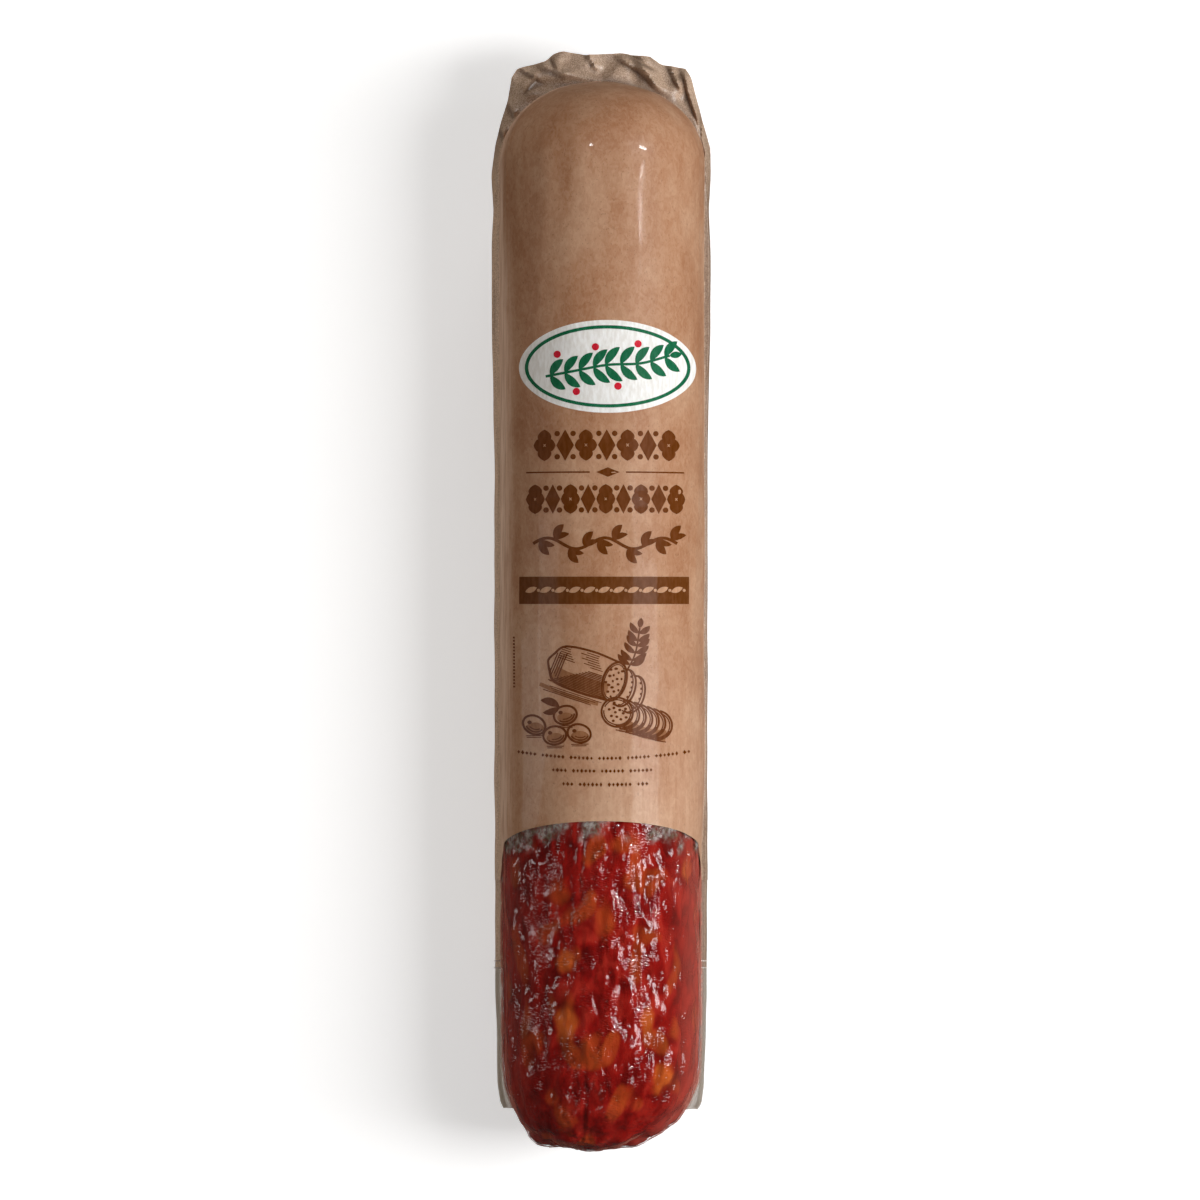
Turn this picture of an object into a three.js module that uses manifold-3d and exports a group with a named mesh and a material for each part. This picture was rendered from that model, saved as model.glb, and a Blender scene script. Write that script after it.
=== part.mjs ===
// A cured sausage in its vacuum pouch, lying on its back. Millimetres, +Z up.
// +Y runs along the sausage to the pouch's crumpled sealed end, +X across it, and the printed side faces +Z.
// The origin is on the resting surface, under the middle of the pouch's outline.
import * as THREE from "three";
import { mergeVertices } from "three/addons/utils/BufferGeometryUtils.js";
import Module from "manifold-3d";

const wasm = await Module();
wasm.setup();

// The sausage: a straight round stick with a rounder end under the print and a blunter one behind the window.
const SAUSAGE_DIAMETER = 54.4;
const SAUSAGE_LENGTH = 295.6;
const UPPER_DOME = { length: 23, power: 2.1 };
const LOWER_DOME = { length: 30, power: 2.6 };
const TIP_LEAN = { offset: -4.5, power: 4 }; // how far the blunt end's tip lies off the axis, and how suddenly
const RESTING_DEPTH = 1.2; // how far the underside is pressed flat where the pack lies

// The pouch: an upper and a lower web of film, drawn tight round the sausage and sealed to each other outside it.
const FILM_THICKNESS = 0.3;
const FILM_GAP = 0.3; // between the film and the sausage, and between the two webs

// The sealed rim, seen from above. Widths are measured outwards from the film round the sausage.
const RIM_WIDTH_UPPER = 2.7;
const RIM_WIDTH_LOWER = 1.6;
const RIM_STEP = { start: 75, end: 45 }; // where along Y the rim narrows
const SEALED_END = { reach: 9.4, edge: 27, shoulder: 47, drop: 5 }; // beyond the sausage's upper end
const SEALED_END_TAPER = 32; // how far the rim's slanted corners run back along the sausage
const EAR = { above_tip: 11, width: 1.0, taper: 20, radius: 2 }; // the rim's corners beside the blunt end

const RING_SEGMENTS = 64;
const DOME_STEPS = 12;
const BEYOND = 400; // larger than the whole pack, for the half spaces that cut it

const filmOffset = FILM_GAP + FILM_THICKNESS; // from the sausage to the outside of the film
const filmRadius = SAUSAGE_DIAMETER / 2 + filmOffset;
const axisHeight = filmRadius - RESTING_DEPTH;
const upperTip = (SAUSAGE_LENGTH + filmOffset - SEALED_END.reach) / 2;
const lowerTip = upperTip - SAUSAGE_LENGTH;
const upperDomeStart = upperTip - UPPER_DOME.length;
const lowerDomeStart = lowerTip + LOWER_DOME.length;

// A geometry as a manifold-3d solid, with its vertices merged.
function solidOf(geometry) {
  const plain = new THREE.BufferGeometry();
  plain.setAttribute("position", geometry.getAttribute("position"));
  plain.setIndex(geometry.index);
  const merged = mergeVertices(plain, 1e-4);
  return new wasm.Manifold(
    new wasm.Mesh({
      numProp: 3,
      vertProperties: merged.attributes.position.array,
      triVerts: new Uint32Array(merged.index.array),
    }),
  );
}

function geometryOf(solid) {
  const mesh = solid.getMesh();
  const geometry = new THREE.BufferGeometry();
  geometry.setAttribute("position", new THREE.BufferAttribute(mesh.vertProperties, 3));
  geometry.setIndex(new THREE.BufferAttribute(mesh.triVerts, 1));
  geometry.computeVertexNormals();
  return geometry;
}

// Everything between two heights.
function slab(bottom, top) {
  const box = new THREE.BoxGeometry(BEYOND, BEYOND, top - bottom);
  return solidOf(box.translate(0, 0, (bottom + top) / 2));
}

// One rounded end, from its tip to where the straight stick starts, as (radius, y) points of a superellipse.
function domeProfile(dome, start, direction, radius, offset) {
  return Array.from({ length: DOME_STEPS + 1 }, (_, i) => {
    const angle = (Math.PI / 2) * (1 - i / DOME_STEPS);
    const out = i === 0 ? 0 : radius * Math.cos(angle) ** (2 / dome.power);
    const along = (dome.length + offset) * Math.sin(angle) ** (2 / dome.power);
    return new THREE.Vector2(out, start + direction * along);
  });
}

// The sausage's own shape grown by an offset, with its underside pressed flat.
function stick(offset) {
  const radius = SAUSAGE_DIAMETER / 2 + offset;
  const lower = domeProfile(LOWER_DOME, lowerDomeStart, -1, radius, offset);
  const upper = domeProfile(UPPER_DOME, upperDomeStart, 1, radius, offset);
  const lathe = new THREE.LatheGeometry([...lower, ...upper.reverse()], RING_SEGMENTS);
  const places = lathe.getAttribute("position");
  for (let i = 0; i < places.count; i++) {
    const intoDome = Math.max(0, (lowerDomeStart - places.getY(i)) / LOWER_DOME.length);
    places.setX(i, places.getX(i) + TIP_LEAN.offset * intoDome ** TIP_LEAN.power);
  }
  lathe.translate(0, 0, axisHeight);
  const floor = filmOffset - offset;
  return solidOf(lathe).intersect(slab(floor, BEYOND));
}

// The rim's outline, drawn down its +X side and up its -X side.
function rimOutline() {
  const end = upperTip + SEALED_END.reach;
  const earEnd = lowerTip + EAR.above_tip;
  const wide = filmRadius + RIM_WIDTH_UPPER;
  const narrow = filmRadius + RIM_WIDTH_LOWER;
  const ear = filmRadius + EAR.width;
  const side = [
    [SEALED_END.edge / 2, end],
    [SEALED_END.shoulder / 2, end - SEALED_END.drop],
    [wide, end - SEALED_END_TAPER],
    [wide, RIM_STEP.start],
    [narrow, RIM_STEP.end],
    [narrow, earEnd + EAR.taper],
    [ear, earEnd + EAR.radius],
  ];
  const outline = new THREE.Shape();
  outline.moveTo(...side[0]);
  side.slice(1).forEach(([x, y]) => outline.lineTo(x, y));
  outline.quadraticCurveTo(ear, earEnd, ear - EAR.radius, earEnd);
  outline.lineTo(EAR.radius - ear, earEnd);
  outline.quadraticCurveTo(-ear, earEnd, -ear, earEnd + EAR.radius);
  side.slice(0, -1).reverse().forEach(([x, y]) => outline.lineTo(-x, y));
  outline.closePath();
  return outline;
}

// One web: its half of the skin round the sausage, and its layer of the rim.
function web(rimBottom, halfBottom, halfTop) {
  const rim = new THREE.ExtrudeGeometry(rimOutline(), {
    depth: FILM_THICKNESS,
    bevelEnabled: false,
    curveSegments: 6,
  });
  rim.translate(0, 0, rimBottom);
  const half = stick(filmOffset).intersect(slab(halfBottom, halfTop));
  return half.add(solidOf(mergeVertices(rim))).subtract(stick(FILM_GAP));
}

function upperWeb() {
  const bottom = axisHeight + FILM_GAP / 2;
  return web(bottom, bottom, BEYOND);
}

function lowerWeb() {
  const top = axisHeight - FILM_GAP / 2;
  return web(top - FILM_THICKNESS, -BEYOND, top);
}

function part(name, solid, material) {
  const mesh = new THREE.Mesh(geometryOf(solid), new THREE.MeshStandardMaterial(material));
  mesh.name = name;
  return mesh;
}

const pack = new THREE.Group();
pack.add(
  part("sausage", stick(0), { color: 0x86201a, roughness: 0.45, metalness: 0 }),
  part("upper_film", upperWeb(), { color: 0xa47a5c, roughness: 0.3, metalness: 0 }),
  part("lower_film", lowerWeb(), { color: 0x9c7355, roughness: 0.35, metalness: 0 }),
);

export default pack;
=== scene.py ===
"""The looks of a cured sausage in its vacuum pouch, seen from straight above.

Sizes are millimetres unless a name says otherwise; MM turns them into metres. +Y runs along the sausage to
the crumpled sealed end, and +Z points at the camera. s is the way along the sausage's skin from its blunt
lower tip, and theta the angle round it: 0 at the top, positive towards +X.
"""
import math

import bmesh
import bpy
import numpy as np
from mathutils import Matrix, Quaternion, Vector, noise


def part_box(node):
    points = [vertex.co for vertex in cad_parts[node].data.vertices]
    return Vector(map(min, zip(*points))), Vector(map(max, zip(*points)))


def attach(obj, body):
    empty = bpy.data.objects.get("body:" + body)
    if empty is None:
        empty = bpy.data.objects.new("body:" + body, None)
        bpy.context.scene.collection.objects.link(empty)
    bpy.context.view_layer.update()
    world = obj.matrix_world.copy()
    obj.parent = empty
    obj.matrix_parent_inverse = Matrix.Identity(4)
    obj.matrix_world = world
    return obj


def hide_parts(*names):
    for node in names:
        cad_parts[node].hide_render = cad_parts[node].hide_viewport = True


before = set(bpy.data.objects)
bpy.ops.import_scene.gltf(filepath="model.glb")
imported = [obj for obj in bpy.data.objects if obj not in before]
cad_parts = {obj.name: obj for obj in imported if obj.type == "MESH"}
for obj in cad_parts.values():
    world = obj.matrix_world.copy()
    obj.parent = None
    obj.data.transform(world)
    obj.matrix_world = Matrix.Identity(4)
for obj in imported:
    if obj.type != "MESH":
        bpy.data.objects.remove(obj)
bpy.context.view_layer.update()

MM = 0.001


def node_box(node):
    low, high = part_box(node)
    return np.array(low) / MM, np.array(high) / MM


# ---- sizes from the frame
meat_low, meat_high = node_box("sausage")
_, pouch_high = node_box("upper_film")

MEAT_RADIUS = (meat_high[0] - meat_low[0]) / 2
AXIS_Z = meat_high[2] - MEAT_RADIUS
FILM_LIFT = pouch_high[2] - meat_high[2]  # the film's outside above the meat
TOP_TIP = meat_high[1]
LOW_TIP = meat_low[1]
POUCH_HALF = pouch_high[0]
POUCH_END = pouch_high[1]

TOP_DOME = {"length": 23, "power": 2.1}
LOW_DOME = {"length": 30, "power": 2.6}
TOP_DOME_START = TOP_TIP - TOP_DOME["length"]
LOW_DOME_START = LOW_TIP + LOW_DOME["length"]
TIP_LEAN = {"offset": -4.5, "power": 4}

FILM_WALL = 0.2
MEAT_SWELL = 0.35  # the vacuum leaves less room under the film than the frame does
SEAM_TILT = math.radians(0.75)  # keeps the two webs' edges apart at the seam
FIN_DROP = 7.0  # how far the folded side seals hang below the seam
EAR_END = LOW_TIP + 10.4  # the pouch's cut edge beside the blunt end

RIM_FLAT = 118  # from here on the rim spreads out flat into the sealed end
WINDOW_TOP = -60.4  # the print's arched edge over the middle of the sausage
BACK_PRINT_END = -102.0  # the straight edge of the print on the lower web

# The rim's half width along Y, taken in from the pouch's widest.
RIM_WIDTHS = [
    (EAR_END, 4.2), (EAR_END + 0.8, 3.0), (EAR_END + 2.6, 2.3), (EAR_END + 7, 1.7),
    (-122, 1.3), (-110, 1.0), (-60, 0.9), (45, 0.8), (75, 0.1), (130, 0.0),
]

# The sealed end's cut edge from the +X side round to the -X side.
SEALED_EDGE = [
    (POUCH_HALF, RIM_FLAT), (30.2, 126), (28, 133.5), (24.9, 145.4), (23.4, 147.9), (16.6, 149),
    (13.6, 151.2), (5, 152.2), (-4, 151.6), (-10.8, POUCH_END), (-13.2, 152), (-15.6, 149.8),
    (-23.3, 147.9), (-24.9, 145.4), (-25.8, 139), (-27.6, 133.5), (-29.2, 127), (-POUCH_HALF, RIM_FLAT),
]


def smooth(low, high, value):
    """0 below low, 1 above high and an even S between them."""
    t = np.clip((value - low) / (high - low), 0, 1)
    return t * t * (3 - 2 * t)


# ---- the stick's shape
def make_profile():
    """The stick's outline from tip to tip: (s, y, radius, and the outward normal's y and radial shares)."""
    turn = np.linspace(0, math.pi / 2, 300)

    def dome(length, power):
        return length * np.sin(turn) ** (2 / power), MEAT_RADIUS * np.cos(turn) ** (2 / power)

    low_along, low_out = dome(**LOW_DOME)
    top_along, top_out = dome(**TOP_DOME)
    y = np.concatenate([LOW_DOME_START - low_along[::-1], TOP_DOME_START + top_along])
    radius = np.concatenate([low_out[::-1], top_out])
    s = np.concatenate([[0], np.cumsum(np.hypot(np.diff(y), np.diff(radius)))])
    normal_y, normal_r = -np.gradient(radius, s), np.gradient(y, s)
    normal_y[[0, -1]], normal_r[[0, -1]] = (-1, 1), 0
    return s, y, radius, normal_y, normal_r


PROFILE = make_profile()
STICK_LENGTH = PROFILE[0][-1]


def s_at(y):
    return np.interp(y, PROFILE[1], PROFILE[0])


def y_at(s):
    return np.interp(s, PROFILE[0], PROFILE[1])


def radius_at(s):
    return np.interp(s, PROFILE[0], PROFILE[2])


def flare(s, theta):
    """How far the film stands off sideways where it leaves the sausage for the side seals."""
    side = np.sign(np.sin(theta))
    amount = 0.1 + np.where(side > 0, 0.9, 0.3) * smooth(-80, -40, y_at(s))
    near_seam = np.clip(1 - np.abs(np.abs(theta) - math.pi / 2) / math.radians(36), 0, 1) ** 2
    return side * amount * near_seam * smooth(0, MEAT_RADIUS, radius_at(s))


def on_stick(s, theta, lift, stand_off=0.0):
    """Points on the stick's skin, raised by lift along its normal and flattened where they meet the floor.

    stand_off moves them sideways.
    """
    s, theta = np.broadcast_arrays(s, theta)
    y, radius, normal_y, normal_r = (np.interp(s, PROFILE[0], column) for column in PROFILE[1:])
    into_dome = np.clip((LOW_DOME_START - y) / LOW_DOME["length"], 0, None)
    reach = radius + lift * normal_r
    x = reach * np.sin(theta) + TIP_LEAN["offset"] * into_dome ** TIP_LEAN["power"] + stand_off
    z = AXIS_Z + reach * np.cos(theta)
    floor = FILM_LIFT - np.minimum(lift, FILM_LIFT)
    return np.stack([x, y + lift * normal_y, np.maximum(z, floor)], -1)


# ---- the skin's relief
def skin_noise(s, theta, size, stretch, seed):
    """Smooth noise on the skin, its features `size` across and `stretch` times as long."""
    s, theta = np.broadcast_arrays(s, theta)
    across = radius_at(s) / size
    points = np.stack([
        np.cos(theta) * across + 17.3 * seed,
        np.sin(theta) * across - 9.1 * seed,
        s / (size * stretch) + 5.7 * seed,
    ], -1).reshape(-1, 3)
    return np.array([noise.noise(p) for p in points.tolist()]).reshape(s.shape)


def ridge(values, sharpness):
    """1 along the noise's zero lines, falling to 0 beside them."""
    return np.clip(1 - np.abs(values) * sharpness, 0, 1)


# Lengthwise furrows in the casing: angle in degrees, depth and half width.
FURROWS = [
    (-78, 0.5, 0.9), (-58, 0.6, 0.9), (-35, 0.7, 1.0), (-9, 1.2, 0.75), (22, 0.3, 0.9), (36, 0.45, 0.9),
    (60, 0.5, 0.8), (80, 0.5, 0.9), (104, 0.8, 1.0), (131, 0.6, 1.1),
    (158, 0.8, 1.0), (-172, 0.5, 1.0), (-146, 0.8, 0.9), (-120, 0.6, 1.0), (-99, 0.7, 0.8),
]

# Lengthwise pleats of the printed film beside its seals: angle in degrees and height.
PLEATS = [(-80, 0.3), (-70, 0.16), (82, 0.25), (74, 0.14)]

# Where the casing is most crinkled, as seen from above: (x, y, radius).
CRINKLES = [
    (-20, -73, 4.5), (-10, -68, 4.5), (1, -69, 5), (-11, -102, 4.5), (-8, -88, 4.5), (-15, -94, 4.5),
    (-10, -124, 4.5), (11, -92, 4.5), (14, -126, 4.5), (20, -68, 5), (22, -95, 4), (3, -105, 5),
    (-20, -125, 4.5), (17, -104, 4), (-14, -112, 4), (6, -128, 4), (20, -140, 4), (-3, -135, 4),
    (-12, -138, 4), (7, -80, 4), (24, -115, 4),
]


def arc_distance(theta, angle):
    """The way round the skin from an angle, in millimetres."""
    return MEAT_RADIUS * ((theta - angle + math.pi) % (2 * math.pi) - math.pi)


def wander(s, number):
    """How far one furrow or streak strays sideways at s, between about -1 and 1."""
    places = np.linspace(0, STICK_LENGTH, 160)
    return np.interp(s, places, [noise.noise((number * 3.1, place / 22, 0.5)) for place in places])


def near(s, theta, places, warp):
    """1 at each of the places seen from above, falling to 0 outside it."""
    y = y_at(s)
    best = np.zeros(np.broadcast(s, theta).shape)
    for x, place_y, across, along in places:
        side = arc_distance(theta, math.asin(np.clip(x / MEAT_RADIUS, -0.98, 0.98))) / across
        best = np.maximum(best, 1 - smooth(0.4, 1.25, np.hypot(side, (y - place_y) / along) + warp))
    return best


def swell(s, theta):
    """The stick's own slow lumps, which the film follows too."""
    lumpy_end = 1.3 * skin_noise(s, theta, 8, 1.3, 16) * (1 - smooth(14, 44, s))
    return 0.34 * skin_noise(s, theta, 24, 2.0, 1) + 0.22 * skin_noise(s, theta, 10, 1.6, 2) + lumpy_end


def crinkled_at(s, theta):
    """1 where the casing is crinkled and 0 where it is smooth."""
    places = [(x, y, radius, radius) for x, y, radius in CRINKLES]
    warp = 0.5 * skin_noise(s, theta, 2.5, 1.5, 18)
    return np.maximum(smooth(0.05, 0.35, skin_noise(s, theta, 7, 1.8, 4)), near(s, theta, places, warp))


def carved(s, theta):
    """The casing's furrows and wrinkles, zero or below. Only the part behind the window has them in full.

    They are shallower beside the seam, where the film leaves the casing.
    """
    depth = np.zeros(np.broadcast(s, theta).shape)
    for number, (degrees, deep, half_width) in enumerate(FURROWS):
        fade = 0.15 + 0.85 * smooth(-0.3, 0.3, wander(s, number + 50))
        beside = (arc_distance(theta, math.radians(degrees)) - 2.4 * wander(s, number)) / half_width
        depth += deep * fade * np.exp(-beside ** 2) * smooth(8, 45, s)
    lumps = 0.66 * (0.75 - skin_noise(s, theta, 3.4, 2.0, 3))
    mask = crinkled_at(s, theta)
    long_folds = ridge(skin_noise(s, theta, 1.5, 3.2, 5), 2.2)
    cross_folds = ridge(skin_noise(s, theta, 1.2, 0.6, 6), 2.2)
    folds = (0.04 + 0.16 * mask) * (1 - long_folds) + (0.02 + 0.12 * mask) * (1 - cross_folds)
    folds = folds + (0.2 + 0.28 * mask) * (0.6 - skin_noise(s, theta, 1.4, 2.6, 11))
    shown = 1 - smooth(-58, -44, y_at(s))
    from_seam = (np.abs(theta) - math.pi / 2) / math.radians(13)
    shown = shown * (1 - 0.5 * np.exp(-from_seam ** 2) * smooth(20, 50, s))
    return -(depth + lumps + folds) * (0.15 + 0.85 * shown)


def film_relief(s, theta):
    """The film's outside over its even lift: on the casing where it is clear, bridging it under print."""
    shown = 1 - smooth(-72, -61, y_at(s))
    bridged = 0.16 * skin_noise(s, theta, 7, 5.0, 7) + 0.05 * skin_noise(s, theta, 2.6, 4.0, 8)
    for number, (degrees, tall) in enumerate(PLEATS):
        beside = (arc_distance(theta, math.radians(degrees)) - 1.8 * wander(s, number + 90)) / 0.55
        present = smooth(-0.3, 0.2, wander(s, number + 120))
        bridged = bridged + tall * present * np.exp(-beside ** 2)
    return swell(s, theta) * (0.6 + 0.4 * shown) + 0.6 * shown * carved(s, theta) + (1 - shown) * bridged


# ---- meshes
def add_object(name, data):
    added = bpy.data.objects.new(name, data)
    bpy.context.scene.collection.objects.link(added)
    return added


def rows_to(spacings):
    """Row places from 0 on: each (end, spacing) pair fills the way to its end evenly."""
    places, start = [0.0], 0.0
    for end, spacing in spacings:
        count = max(1, round((end - start) / spacing))
        places.extend(np.linspace(start, end, count + 1)[1:])
        start = end
    return np.array(places)


def grid_faces(index):
    """Quads over a grid of vertex numbers."""
    a, b, c, d = index[:-1, :-1], index[:-1, 1:], index[1:, 1:], index[1:, :-1]
    return np.stack([a, b, c, d], -1).reshape(-1, 4)


JOIN_WITHIN = 0.002  # vertices closer than this become one
SHARP_FROM = math.radians(48)  # edges that turn more than this are shaded sharp


def new_piece(name, points, faces, materials, face_materials=None, attributes=None):
    """A smooth mesh object that rides on the root body, with coinciding vertices joined."""
    mesh = bpy.data.meshes.new(name)
    mesh.from_pydata((points * MM).tolist(), [], faces.tolist())
    for material in materials:
        mesh.materials.append(material)
    if face_materials is not None:
        mesh.polygons.foreach_set("material_index", face_materials.astype(np.int32))
    for attribute, values in (attributes or {}).items():
        mesh.attributes.new(attribute, "FLOAT", "POINT").data.foreach_set("value", np.float32(values).ravel())
    built = bmesh.new()
    built.from_mesh(mesh)
    bmesh.ops.remove_doubles(built, verts=built.verts, dist=JOIN_WITHIN * MM)
    built.to_mesh(mesh)
    built.free()
    mesh.polygons.foreach_set("use_smooth", np.ones(len(mesh.polygons), bool))
    mesh.update()
    piece = add_object(name, mesh)
    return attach(piece, "root")


def thicken(piece, wall):
    """Gives an open sheet its wall, inwards from the side that its faces point to."""
    modifier = piece.modifiers.new("wall", "SOLIDIFY")
    modifier.thickness = wall * MM
    modifier.offset = -1
    depsgraph = bpy.context.evaluated_depsgraph_get()
    solid = bpy.data.meshes.new_from_object(piece.evaluated_get(depsgraph))
    solid.set_sharp_from_angle(angle=SHARP_FROM)
    piece.modifiers.clear()
    piece.data = solid


# ---- materials
class Graph:
    """Builds one material's nodes. Each add() returns the new node's chosen output."""

    def __init__(self, name):
        self.material = bpy.data.materials.new(name)
        self.material.use_nodes = True
        self.tree = self.material.node_tree
        self.tree.nodes.clear()

    def add(self, kind, inputs, output=0, **settings):
        node = self.tree.nodes.new("ShaderNode" + kind)
        for setting, value in settings.items():
            setattr(node, setting, value)
        for key, value in inputs.items():
            socket = node.inputs[key]
            if isinstance(value, bpy.types.NodeSocket):
                self.tree.links.new(value, socket)
            else:
                socket.default_value = (*value, 1) if socket.type == "RGBA" else value
        return node.outputs[output] if node.outputs else None

    def place(self, size, stretch=1.0):
        """The object's own coordinates, one unit being `size` across and `stretch` times as long along Y."""
        coords = self.add("TexCoord", {}, output="Object")
        scale = 1 / (size * MM)
        return self.add("Mapping", {"Vector": coords, "Scale": (scale, scale / stretch, scale)})

    def noise(self, size, stretch=1.0, detail=2.0, distortion=0.0):
        return self.add("TexNoise", {
            "Vector": self.place(size, stretch), "Scale": 1.0, "Detail": detail, "Distortion": distortion,
        })

    def steps(self, value, stops):
        """A value turned into a colour by (place, colour) stops."""
        output = self.add("ValToRGB", {"Fac": value})
        elements = output.node.color_ramp.elements
        while len(elements) < len(stops):
            elements.new(0.5)
        for element, (place, color) in zip(elements, stops):
            element.position = place
            element.color = (*color, 1)
        return output

    def mix(self, factor, first, second):
        return self.add("Mix", {0: factor, 6: first, 7: second}, output=2, data_type="RGBA")

    def math(self, operation, first, second):
        return self.add("Math", {0: first, 1: second}, operation=operation)

    def ramp(self, value, low, high, out_low=0.0, out_high=1.0):
        return self.add("MapRange", {
            "Value": value, "From Min": low, "From Max": high, "To Min": out_low, "To Max": out_high,
        }, interpolation_type="SMOOTHSTEP")

    def bump(self, height, distance, normal=None):
        inputs = {"Height": height, "Distance": distance * MM, "Strength": 1.0}
        if normal is not None:
            inputs["Normal"] = normal
        return self.add("Bump", inputs)

    def surface(self, color, roughness, ior, normal, coat=0.0):
        """A principled shader, with a thin glossier coat where one is asked for."""
        return self.add("BsdfPrincipled", {
            "Base Color": color, "Roughness": roughness, "IOR": ior, "Normal": normal,
            "Coat Weight": coat, "Coat Roughness": 0.08,
        })

    def attribute(self, name):
        return self.add("Attribute", {}, output="Fac", attribute_name=name)

    def finish(self, shader):
        self.add("OutputMaterial", {"Surface": shader})
        return self.material

    def finish_clear(self, shader, share):
        """Finishes with a shader that covers a share of the surface and leaves the rest clear."""
        nothing = self.add("BsdfTransparent", {})
        return self.finish(self.add("MixShader", {0: share, 1: nothing, 2: shader}))


def film_bump(graph):
    """The faint unevenness that printed film and its ink share."""
    waves = graph.bump(graph.noise(5.0, 3.0, 1.0), 0.18)
    return graph.bump(graph.noise(0.7, 3.0, 2.0), 0.012, normal=waves)


def kraft_color(graph, dark, middle, light, painted_light_color):
    """Kraft paper's mottling, fibres and specks between three browns, lightened by painted light (painted
    highlights, painted reflection streaks and lit strips) where a vertex attribute asks for it.
    """
    mottle = graph.noise(13.0, 1.8, 3.0, 0.4)
    base = graph.steps(mottle, [(0.35, dark), (0.5, middle), (0.65, light)])
    fibre = graph.ramp(graph.noise(0.55, 2.6, 3.0, 1.2), 0.34, 0.66)
    fibred = graph.mix(0.24, base, graph.mix(fibre, dark, light))
    pulp = graph.ramp(graph.noise(1.9, 1.3, 3.0, 1.0), 0.36, 0.66)
    pulped = graph.mix(0.28, fibred, graph.mix(pulp, dark, light))
    speck = graph.ramp(graph.noise(0.45, 1.5, 1.0), 0.64, 0.74)
    specked = graph.mix(graph.math("MULTIPLY", speck, 0.35), pulped, [0.45 * c for c in dark])
    streaks = graph.ramp(graph.noise(1.0, 14.0, 2.0), 0.3, 0.65, 0.45, 1)
    # Painted light: the attribute's share, broken into fine streaks, mixes in the last colour.
    painted_light_share = graph.math("MULTIPLY", graph.attribute("painted_light"), streaks)
    return graph.mix(painted_light_share, specked, painted_light_color)


def kraft_film():
    graph = Graph("printed kraft film")
    # The last colour is the painted-light colour.
    color = kraft_color(graph, (0.375, 0.168, 0.082), (0.475, 0.25, 0.142), (0.56, 0.335, 0.21),
                        (1.0, 0.72, 0.55))
    return graph.finish(graph.surface(color, 0.42, 1.19, film_bump(graph), coat=0.1))


def sealed_kraft():
    graph = Graph("sealed kraft film")
    # The last colour is the painted-light colour.
    color = kraft_color(graph, (0.34, 0.215, 0.14), (0.47, 0.32, 0.22), (0.62, 0.45, 0.33), (1.0, 0.69, 0.46))
    grain = graph.ramp(graph.noise(0.3, 1.0, 1.0), 0.35, 0.65)
    grained = graph.mix(0.5, color, graph.mix(grain, (0.26, 0.155, 0.1), (0.72, 0.55, 0.41)))
    emboss = graph.bump(graph.noise(0.4, 1.0, 2.0), 0.1)
    # Painted shade: darker in the creases under the folds and over the +X rim, where a vertex attribute marks
    # it.
    crease_shade = graph.math("MULTIPLY", graph.attribute("crease_shade"), 0.62)
    creased = graph.mix(crease_shade, grained, (0.11, 0.06, 0.035))
    return graph.finish(graph.surface(creased, 0.36, 1.4, emboss))


def clear_film():
    """Clear film drawn tight on the casing: frosty where it stands off, and hazy red where seen edge-on."""
    graph = Graph("clear film")
    normal = graph.bump(graph.noise(0.7, 2.0, 3.0), 0.1)
    frost = graph.attribute("frost")
    streaks = graph.ramp(graph.noise(0.9, 1.3, 3.0), 0.35, 0.65, 0.15, 0.72)
    edge_on = graph.add("LayerWeight", {"Blend": 0.5}, output="Facing")
    rim = graph.ramp(edge_on, 0.72, 0.9, 0.0, 0.8)
    share = graph.math("MAXIMUM", graph.math("MULTIPLY", frost, streaks), rim)
    cloud = graph.ramp(graph.noise(2.2, 1.2), 0.35, 0.65)
    cloudy = graph.mix(cloud, (0.2, 0.15, 0.1), (0.5, 0.45, 0.42))
    color = graph.mix(graph.ramp(rim, 0, 0.1), cloudy, (0.5, 0.15, 0.11))
    return graph.finish_clear(graph.surface(color, 0.5, 1.2, normal), share)


def clear_seal(name, opacity):
    """The clear web where it is sealed: greyish, with fine lengthwise lines, lighter where painted light
    goes, and red beside the sausage.
    """
    graph = Graph(name)
    lines = graph.noise(0.8, 12.0, 2.0)
    fold = graph.attribute("frost")
    plain = graph.mix(lines, (0.34, 0.285, 0.23), (0.48, 0.42, 0.345))
    # Painted light: lighter where the vertex attribute asks, as on the printed film.
    greyish = graph.mix(graph.attribute("painted_light"), plain, (0.72, 0.62, 0.5))
    color = graph.mix(fold, greyish, (0.5, 0.15, 0.11))
    film = graph.surface(color, 0.4, 1.25, graph.bump(lines, 0.15))
    return graph.finish_clear(film, graph.math("MAXIMUM", fold, opacity))


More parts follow.
